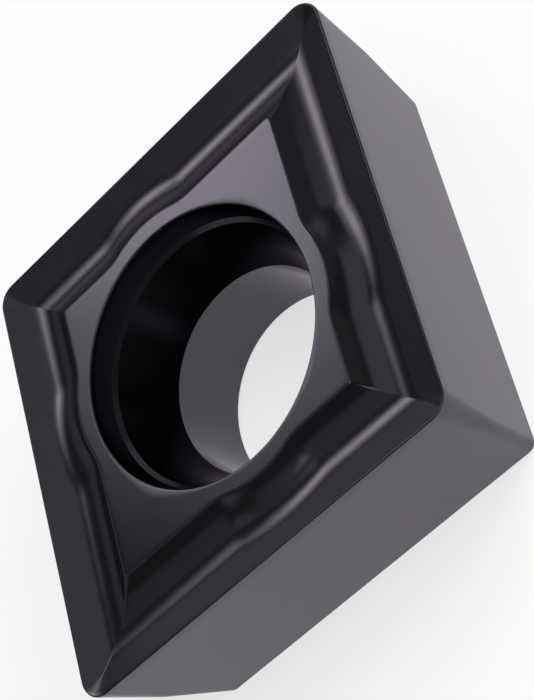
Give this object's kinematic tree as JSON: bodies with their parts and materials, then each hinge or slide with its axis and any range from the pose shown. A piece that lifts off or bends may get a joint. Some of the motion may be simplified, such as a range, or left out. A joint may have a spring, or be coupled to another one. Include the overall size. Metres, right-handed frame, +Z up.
{
  "type": "carbide insert",
  "caption": "Indexable rhombic cutting insert of coated carbide with positive flanks, a chipbreaker groove round the rake face and a central screw hole.",
  "frame": {"origin": "centre of the screw hole in the plane of the flat base", "axes": "+Z up along the screw hole, out of the rake face; +X along the long diagonal to an acute corner; +Y along the short diagonal to an obtuse corner"},
  "size_m": [0.0142, 0.0122, 0.004],
  "materials": {
    "coated_carbide": "satin dark violet-grey vapour-deposited coating on fine sintered carbide"
  },
  "bodies": {
    "root": {"insert_body": "coated_carbide"}
  },
  "joints": []
}
